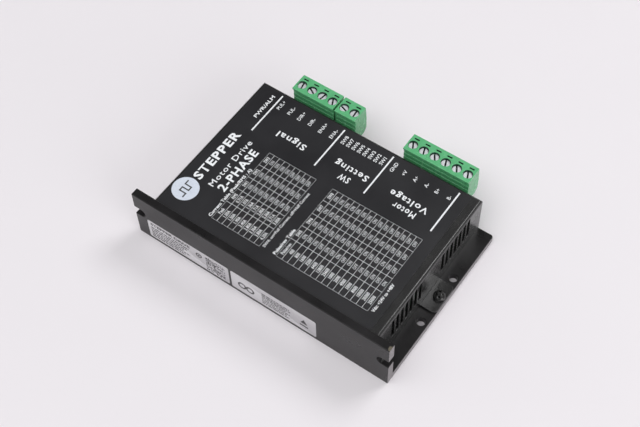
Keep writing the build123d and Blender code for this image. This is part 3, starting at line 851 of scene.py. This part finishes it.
    def _lay(self, faces: list[bmesh.types.BMFace], patch: bmesh.types.BMesh, at: Place) -> None:
        """Give a flat patch the ink's thickness, as a closed shell, and add it.

        Args:
            faces: The flat faces.
            patch: The bmesh that holds them, freed here.
            at: Place of its origin.
        """
        bmesh.ops.recalc_face_normals(patch, faces=faces)
        if faces[0].normal.z > 0:
            bmesh.ops.reverse_faces(patch, faces=faces)
        grown = bmesh.ops.extrude_face_region(patch, geom=faces, use_keep_orig=True)
        top = [v for v in grown["geom"] if isinstance(v, bmesh.types.BMVert)]
        bmesh.ops.translate(patch, verts=top, vec=(0, 0, self.ink_t))
        bmesh.ops.recalc_face_normals(patch, faces=patch.faces[:])
        mesh = bpy.data.meshes.new("mark")
        patch.to_mesh(mesh)
        patch.free()
        self.take(mesh, at)

    def keep(self, name: str, ink: Material) -> None:
        """Weld the print and make it a piece of the module, in one ink."""
        bmesh.ops.remove_doubles(self.shape, verts=self.shape.verts, dist=WELD)
        finish_piece(name, self.shape, (ink,), ROOT)


# ------------------------------
# Sub-assemblies
# ------------------------------
def soften_node(
    node: str,
    materials: Sequence[Material],
    round_mm: float,
    second: FaceTest | None = None,
) -> bpy.types.Object:
    """Stand a softened copy of a CAD node in for it.

    Args:
        node: Name of the node.
        materials: Its materials, in slot order.
        round_mm: Width of the rounding on its edges.
        second: Tells which faces take the second material.

    Returns:
        The new piece.
    """
    shape = softened(node, round_mm)
    for face in filter(second, shape.faces if second else ()):
        face.material_index = 1
    body = body_of(frame["nodes"][node])[0]
    piece = finish_piece(f"{node}_shape", shape, materials, body, smooth_below=50.0)
    weighted = piece.modifiers.new("weighted", "WEIGHTED_NORMAL")
    weighted.keep_sharp = True
    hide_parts(node)
    return piece


@dataclass
class SubAssembly:
    """What every part of the module has: the finishes that dress it."""

    finishes: Finishes


@dataclass
class HeatsinkBase(SubAssembly):
    """L-shaped aluminium base: flat plate with side flanges and an upright end wall."""

    edge_mm: float = 0.22

    def build(self) -> None:
        """Round its edges, and give its cut ends a pale finish: partly bare metal, partly painted
        reflection.
        """
        low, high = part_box("heatsink_base")

        def sawn_and_painted_sheen(face: bmesh.types.BMFace) -> bool:
            """Whether a face is on one of the ends that face along X."""
            at = face.calc_center_median().x
            return abs(face.normal.x) > 0.9 and min(at - low.x, high.x - at) < 0.3 * MM

        # The ends' pale finish is partly bare metal and partly painted reflection.
        coats = (self.finishes.base_coat, self.finishes.sawn_and_painted_sheen)
        soften_node("heatsink_base", coats, self.edge_mm, second=sawn_and_painted_sheen)


@dataclass
class SheetCover(SubAssembly):
    """Folded sheet cover with louvre slots and screw tabs."""

    edge_mm: float = 0.14

    def build(self) -> None:
        """Round its cut edges and dress it."""
        soften_node("cover", (self.finishes.cover_coat,), self.edge_mm)


@dataclass
class Fasteners(SubAssembly):
    """Screws that hold the cover and the board."""

    head_edge_mm: float = 0.1

    def build(self) -> None:
        """Round the heads and dress them."""
        soften_node("cover_screws", (self.finishes.black_zinc,), self.head_edge_mm)
        dress("chassis_screws", self.finishes.steel)


@dataclass
class TerminalPlug(SubAssembly):
    """Pull-off screw terminal plug with its clamp cages and screws."""

    name: str
    poles: int
    edge_mm: float = 0.16
    screw_edge_mm: float = 0.07
    pocket_depth_mm: float = 3.2
    pocket_lip_mm: float = 0.12
    rim_mm: float = 0.5

    def build(self) -> None:
        """Round the housing and the screws, and dress every piece."""
        # The second green is painted shade inside the wells and slots.
        greens = (self.finishes.green, self.finishes.pocket_shade_green)
        housing = f"{self.name}_plug_housing"
        soften_node(housing, greens, self.edge_mm, second=self._pocket_test())
        dress(f"{self.name}_plug_contacts", self.finishes.tin)
        for pole in range(1, self.poles + 1):
            soften_node(
                f"{self.name}_clamp_screw_{pole}", (self.finishes.nickel,), self.screw_edge_mm
            )
            dress(f"{self.name}_clamp_cage_{pole}", self.finishes.steel)

    def _pocket_test(self) -> FaceTest:
        """Test for the inside faces of the screw wells and the marker slots, which take the painted shade.

        Returns:
            A test that tells whether a face is one of them.
        """
        low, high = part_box(f"{self.name}_plug_housing")
        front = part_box(f"{self.name}_clamp_screw_1")[0].y - 0.3 * MM
        rim, top = self.rim_mm * MM, high.z - self.pocket_lip_mm * MM
        bottom = high.z - self.pocket_depth_mm * MM

        def inside(face: bmesh.types.BMFace) -> bool:
            """Whether a face lies below the top and within the outer walls."""
            at = face.calc_center_median()
            return low.x + rim < at.x < high.x - rim and front < at.y < high.y - rim and bottom < at.z < top

        return inside


@dataclass
class RearPanel(SubAssembly):
    """Board-edge headers, setting switches and status lights behind the cover's rear windows."""

    switches: int = 8
    edge_mm: float = 0.14

    def build(self) -> None:
        """Round what shows and dress every piece."""
        for header in ("signal_headers", "power_header"):
            soften_node(header, (self.finishes.green,), self.edge_mm)
        soften_node("switch_body", (self.finishes.red,), self.edge_mm)
        for switch in range(1, self.switches + 1):
            soften_node(f"switch_slider_{switch}", (self.finishes.white,), self.edge_mm / 2)
        dress("header_pins", self.finishes.tin)
        dress("status_leds", self.finishes.lens)


@dataclass
class InnerBoard(SubAssembly):
    """Circuit board and the power parts clamped to the end wall."""

    def build(self) -> None:
        """Dress every inner piece."""
        dress("circuit_board", self.finishes.board)
        dress("board_standoffs", self.finishes.steel)
        dress("insulating_pad", self.finishes.pad)
        dress("clamp_bar", self.finishes.bar)
        dress("bulk_capacitors", self.finishes.sleeve)
        dress("power_inductor", self.finishes.ferrite)
        for chip in ("power_transistors", "control_chip", "driver_chips", "optocouplers"):
            dress(chip, self.finishes.epoxy)


@dataclass
class SettingTable:
    """One ruled table on the film: where it starts, its columns and its rows of text."""

    name: str
    left: float
    top: float
    columns: Sequence[float]
    row: float
    header: Sequence[str]
    rows: Sequence[Sequence[str]]
    cap: float = 1.38
    line: float = 0.19
    squeeze: float = 0.68

    def print_on(self, sheet: PrintSheet) -> None:
        """Print the ruled lines and fill the cells.

        Args:
            sheet: The film's print sheet.
        """
        lines = [self.header, *self.rows]
        down = [self.row * k for k in range(len(lines) + 1)]
        across = [c - self.left for c in self.columns]
        sheet.table(across, down, self.line, (self.top, self.left))
        for number, cells in enumerate(lines):
            base = self.top + self.row * (number + 0.5) + self.cap / 2
            for place, text in enumerate(cells):
                middle = (self.columns[place] + self.columns[place + 1]) / 2
                heavy = number == 0 or place < len(cells) - self.switch_count
                weight = 0.025 if heavy else 0.0
                sheet.words(
                    text, self.cap, (base, middle),
                    weight=weight, centred=True, squeeze=self.squeeze, spacing=1.1,
                )

    @property
    def switch_count(self) -> int:
        """How many of the columns are for switches."""
        return sum(title.startswith("SW") for title in self.header)


def switch_rows(values: Sequence[Sequence[str]], switches: int) -> list[list[str]]:
    """Rows of a table whose switch columns count up in binary.

    Args:
        values: The leading cells of each row.
        switches: How many switches follow.

    Returns:
        The rows of cells.
    """
    rows = []
    for number, cells in enumerate(values):
        states = ["OFF" if number >> place & 1 else "ON" for place in range(switches)]
        rows.append([*cells, *states])
    return rows


@dataclass
class TopFilm(SubAssembly):
    """Black printed film on the cover: settings tables, wiring names and a plain title."""

    separators: Sequence[float] = (-41.0, -10.45, 12.75, 43.0)
    separator_y: Place = (14.55, 35.55)
    separator_t: float = 0.64
    wiring_y: float = 31.4
    wiring_cap: float = 1.5
    heading_cap: float = 2.75
    mark_centre: Place = (-45.0, -22.55)
    mark_r: float = 5.45
    wires: Sequence[tuple[str, float]] = (
        ("PUL+", -38.75), ("PUL-", -33.65), ("DIR+", -28.7),
        ("DIR-", -23.6), ("ENA+", -18.2), ("ENA-", -13.0),
        ("GND", 15.6), ("+V", 20.5), ("A+", 25.5), ("A-", 30.6), ("B+", 35.4), ("B-", 40.8),
    )
    headings: Sequence[tuple[str, float, float, float]] = (
        ("Signal", -18.1, 20.55, 13.5),
        ("SW", 5.1, 17.4, 5.0),
        ("Setting", 10.5, 22.05, 15.2),
        ("Motor", 34.6, 18.05, 10.0),
        ("Voltage", 37.6, 22.35, 16.9),
    )

    def build(self) -> None:
        """Dress the film and print on it."""
        dress("top_label", self.finishes.film)
        self.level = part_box("top_label")[1].z / MM
        self._wiring()
        self._title()
        self._tables()

    def _wiring(self) -> None:
        """Separators, wiring names, switch numbers and group headings."""
        sheet = PrintSheet(self.level)
        low, high = self.separator_y
        for x in self.separators:
            sheet.bar(high - low, self.separator_t, (x + self.separator_t / 2, low))
        middle = self.wiring_cap / 2
        for name, x in self.wires:
            sheet.words(name, self.wiring_cap, (x + middle, self.wiring_y), weight=0.01, centred=True)
        sheet.words("PWR/ALM", self.wiring_cap, (-44.0 + middle, 20.6), width=12.9, weight=0.03)
        for number in range(8, 0, -1):
            x = -7.65 + (8 - number) * 2.58 + middle
            sheet.words(f"SW{number}", self.wiring_cap, (x, self.wiring_y), weight=0.02, centred=True)
        sheet.reading = Reading.TO_LEFT
        for text, x, y, width in self.headings:
            sheet.words(text, self.heading_cap, (x, y), width=width, weight=0.03, spacing=1.2)
        sheet.keep("film_wiring_print", self.finishes.white_ink)

    def _title(self) -> None:
        """Round mark with a plain pulse train in it, and three lines of generic title."""
        sheet = PrintSheet(self.level)
        sheet.words("STEPPER", 3.6, (-43.0, -16.2), width=26.6, weight=0.05, spacing=1.16)
        sheet.words("Motor Drive", 2.45, (-36.8, -15.9), width=25.6, weight=0.015, spacing=1.14)
        sheet.words("2-PHASE", 3.5, (-31.8, -15.4), width=22.5, weight=0.045, spacing=1.14)
        sheet.keep("film_title_print", self.finishes.white_ink)
        disc = PrintSheet(self.level)
        disc.disc(self.mark_r, self.mark_centre)
        disc.keep("film_mark_disc", self.finishes.disc_ink)
        symbol = PrintSheet(self.level + sheet.ink_t)
        centre_x, centre_y = self.mark_centre
        low, high, step, pen = 1.5, -1.5, 1.75, 0.55
        for k in range(4):
            start = centre_y - 2 * step + k * step
            level = low if k % 2 == 0 else high
            symbol.bar(step + pen, pen, (centre_x + level + pen / 2, start - pen / 2))
        for k in range(1, 4):
            y = centre_y - 2 * step + k * step
            symbol.bar(pen, low - high - pen, (centre_x + low - pen / 2, y - pen / 2))
        symbol.keep("film_mark_symbol", self.finishes.mark_ink)

    def _tables(self) -> None:
        """Current table and pulse table with their captions and notes."""
        peaks = ("1.00A", "1.50A", "1.90A", "2.40A", "2.80A", "3.30A", "3.80A", "4.20A")
        means = ("0.71A", "1.07A", "1.36A", "1.71A", "2.00A", "2.36A", "2.71A", "3.00A")
        current = SettingTable(
            "film_current_table", -27.4, -28.5, (-27.4, -18.1, -11.1, -4.3, 2.65, 9.55), 2.51,
            ("Peak", "RMS", "SW1", "SW2", "SW3"), switch_rows(list(zip(peaks, means)), 3),
        )
        steps = ("400", "800", "1600", "3200", "6400", "12800", "25600", "1000",
                 "2000", "4000", "5000", "8000", "10000", "20000", "25000")
        pulses = SettingTable(
            "film_pulse_table", -27.2, 1.75, (-27.2, -17.75, -10.85, -4.1, 3.1, 9.55), 2.556,
            ("Pulse/rev", "SW5", "SW6", "SW7", "SW8"), switch_rows([(s,) for s in steps], 4),
        )
        for table in (current, pulses):
            sheet = PrintSheet(self.level)
            table.print_on(sheet)
            sheet.keep(table.name, self.finishes.white_ink)
        notes = PrintSheet(self.level)
        notes.words("Current Table (Peak/RMS : A)", 1.25, (-29.1, -27.2), width=26.3, weight=0.04)
        notes.words("SW4: on=Full Current, off=Half Current", 1.15, (-3.9, -26.6), width=29.2, weight=0.02)
        notes.words("Pulse/rev Table", 1.25, (1.2, -26.9), width=13.1, weight=0.04)
        notes.words("Vdc: +24V to +48V", 1.25, (44.9, -26.4), width=13.8, weight=0.04)
        notes.keep("film_notes", self.finishes.white_ink)


@dataclass
class WallStickers(SubAssembly):
    """Two grey stickers on the end wall, printed with plain marks and unreadable fine lines."""

    ink_t: float = 0.02
    seed: int = 11

    def build(self) -> None:
        """Build both stickers and their print."""
        for node in ("rating_label", "approval_label"):
            self._foil(node)
        self.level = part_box("rating_label")[0].y / MM + self.ink_t
        self._rating()
        self._approval()

    def _foil(self, node: str) -> None:
        """Sticker stock, thinner than its node by the ink that lies on it.

        Args:
            node: Name of the sticker's node.
        """
        shape = bmesh.new()
        shape.from_mesh(frame["nodes"][node].data)
        bmesh.ops.remove_doubles(shape, verts=shape.verts, dist=WELD)
        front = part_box(node)[0].y
        outer = [v for v in shape.verts if v.co.y < front + 0.01 * MM]
        bmesh.ops.translate(shape, verts=outer, vec=(0, self.ink_t * MM, 0))
        piece = finish_piece(f"{node}_foil", shape, (self.finishes.foil,), ROOT)
        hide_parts(node)

    def _fine_lines(
        self, sheet: PrintSheet, left: float, top: float, width: float,
        lines: int, pitch: float, chance: random.Random,
    ) -> None:
        """Blocks of unreadable fine print, as rows of short dashes.

        Args:
            sheet: The sheet to print on.
            left: Left edge.
            top: Upper edge.
            width: Length of a full line.
            lines: Number of lines.
            pitch: Distance between lines.
            chance: Seeded source of the word lengths.
        """
        for number in range(lines):
            at, end = 0.0, width * chance.uniform(0.72, 1.0)
            while at < end:
                word = min(chance.uniform(0.7, 2.4), end - at)
                sheet.bar(word, pitch * 0.5, (left + at, top - pitch * (number + 1)))
                at += word + 0.35

    def _rating(self) -> None:
        """Bold line, fine lines, a small round mark and a speckled square that encodes nothing."""
        chance = random.Random(self.seed)
        sheet = PrintSheet(self.level, self.ink_t, Reading.ON_WALL)
        low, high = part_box("rating_label")
        left, top = low.x / MM, high.z / MM
        sheet.words("STEPPER DRIVE", 1.5, (left + 1.4, top - 2.6), width=19.5, weight=0.05)
        self._fine_lines(sheet, left + 1.4, top - 3.1, 22.0, 5, 1.4, chance)
        sheet.disc(1.5, (left + 25.2, top - 3.6), hole=0.95)
        sheet.disc(0.5, (left + 25.2, top - 3.6))
        cell, count = 0.48, 19
        corner_x, corner_z = left + 28.6, top - 10.3
        for row in range(count):
            column = 0
            while column < count:
                run = chance.choice((1, 1, 2, 3))
                if chance.random() < 0.52:
                    width = min(run, count - column) * cell
                    sheet.bar(width, cell * 0.98, (corner_x + column * cell, corner_z + row * cell))
                column += run + 1
        sheet.keep("rating_label_print", self.finishes.dark_ink)

    def _approval(self) -> None:
        """Plain geometric marks and a block of fine lines."""
        chance = random.Random(self.seed + 1)
        sheet = PrintSheet(self.level, self.ink_t, Reading.ON_WALL)
        low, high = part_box("approval_label")
        left, top = low.x / MM, high.z / MM
        for k in range(2):
            sheet.disc(2.0, (left + 5.2 + k * 3.8, top - 6.4), hole=1.2)
        self._fine_lines(sheet, left + 14.6, top - 2.2, 15.0, 6, 1.25, chance)
        sheet.outline([(-1.6, 0), (1.6, 0), (0, 2.8)], (left + 34.1, top - 6.3))
        sheet.bar(3.8, 0.8, (left + 32.2, top - 8.4))
        sheet.keep("approval_label_print", self.finishes.dark_ink)


# ------------------------------
# Studio
# ------------------------------
@dataclass(frozen=True)
class SoftBox:
    """Square soft light: place and width in millimetres, power in watts."""

    name: str
    at: Point
    width: float
    watts: float

    def build(self, target: Vector) -> None:
        """Hang the light.

        Args:
            target: Point in metres that it faces.
        """
        light = bpy.data.lights.new(self.name, "AREA")
        light.shape = "SQUARE"
        light.size = self.width * MM
        light.energy = self.watts
        lamp = bpy.data.objects.new(self.name, light)
        lamp.location = Vector(self.at) * MM
        lamp.rotation_euler = (target - lamp.location).to_track_quat("-Z", "Y").to_euler()
        lamp.visible_camera = False
        bpy.context.scene.collection.objects.link(lamp)


@dataclass
class Studio:
    """Pale paper floor, soft light from the upper right and rear, and the camera."""

    target: Point = (-0.2, 3.55, 11.0)
    distance: float = 467.5
    azimuth: float = 36.72
    elevation: float = 56.53
    roll: float = -1.8
    lens: float = 67.3
    ambient: float = 0.16
    horizon: float = 1.0
    horizon_top: float = 0.45
    boxes: Sequence[SoftBox] = (
        SoftBox("back_key", (350.0, 900.0, 1200.0), 600.0, 7.6),
        SoftBox("overhead_fill", (-250.0, -550.0, 1600.0), 1500.0, 18.5),
        SoftBox("side_fill", (1500.0, -350.0, 700.0), 1000.0, 8.6),
    )

    def build(self) -> None:
        """Set up floor, light and camera."""
        self._floor()
        self._world()
        for box in self.boxes:
            box.build(Vector(self.target) * MM)
        self._camera()
        bpy.context.scene.view_settings.view_transform = "Standard"

    def _floor(self) -> None:
        """Wide seamless paper that the module lies on."""
        shape = bmesh.new()
        bmesh.ops.create_grid(shape, x_segments=8, y_segments=8, size=6.0)
        mesh = bpy.data.meshes.new("paper")
        shape.to_mesh(mesh)
        shape.free()
        mesh.materials.append(StudioPaper().material())
        floor = bpy.data.objects.new("paper", mesh)
        bpy.context.scene.collection.objects.link(floor)

    def _world(self) -> None:
        """Faint fill from above that brightens towards the horizon."""
        world = bpy.data.worlds.new("studio")
        world.use_nodes = True
        nodes, links = world.node_tree.nodes, world.node_tree.links
        background = nodes["Background"]
        background.inputs["Color"].default_value = (1.0, 0.99, 1.0, 1.0)
        split = nodes.new("ShaderNodeSeparateXYZ")
        fade = nodes.new("ShaderNodeMapRange")
        fade.inputs["From Max"].default_value = self.horizon_top
        fade.inputs["To Min"].default_value = self.horizon
        fade.inputs["To Max"].default_value = self.ambient
        links.new(nodes.new("ShaderNodeTexCoord").outputs["Generated"], split.inputs[0])
        links.new(split.outputs["Z"], fade.inputs["Value"])
        links.new(fade.outputs["Result"], background.inputs["Strength"])
        bpy.context.scene.world = world

    def _camera(self) -> None:
        """Camera at a high three-quarter angle from the front right, with a slight roll."""
        data = bpy.data.cameras.new("camera")
        data.lens = self.lens
        data.clip_start, data.clip_end = 0.01, 20.0
        camera = bpy.data.objects.new("camera", data)
        turn, rise = math.radians(self.azimuth), math.radians(self.elevation)
        back = Vector((math.sin(turn) * math.cos(rise), -math.cos(turn) * math.cos(rise), math.sin(rise)))
        aim = (-back).to_track_quat("-Z", "Y").to_matrix().to_4x4()
        place = Matrix.Translation(Vector(self.target) * MM + back * self.distance * MM)
        camera.matrix_world = place @ aim @ Matrix.Rotation(math.radians(self.roll), 4, "Z")
        bpy.context.scene.collection.objects.link(camera)
        bpy.context.scene.camera = camera


def main() -> None:
    """Build every sub-assembly."""
    logging.basicConfig(level=logging.INFO, format="%(message)s")
    Studio().build()
    finishes = Finishes()
    parts = (
        HeatsinkBase(finishes),
        SheetCover(finishes),
        Fasteners(finishes),
        InnerBoard(finishes),
        RearPanel(finishes),
        TerminalPlug(finishes, "pulse", 4),
        TerminalPlug(finishes, "enable", 2),
        TerminalPlug(finishes, "power", 6),
        TopFilm(finishes),
        WallStickers(finishes),
    )
    for part in parts:
        part.build()
        LOG.info("built %s", type(part).__name__)


if __name__ == "__main__":
    main()
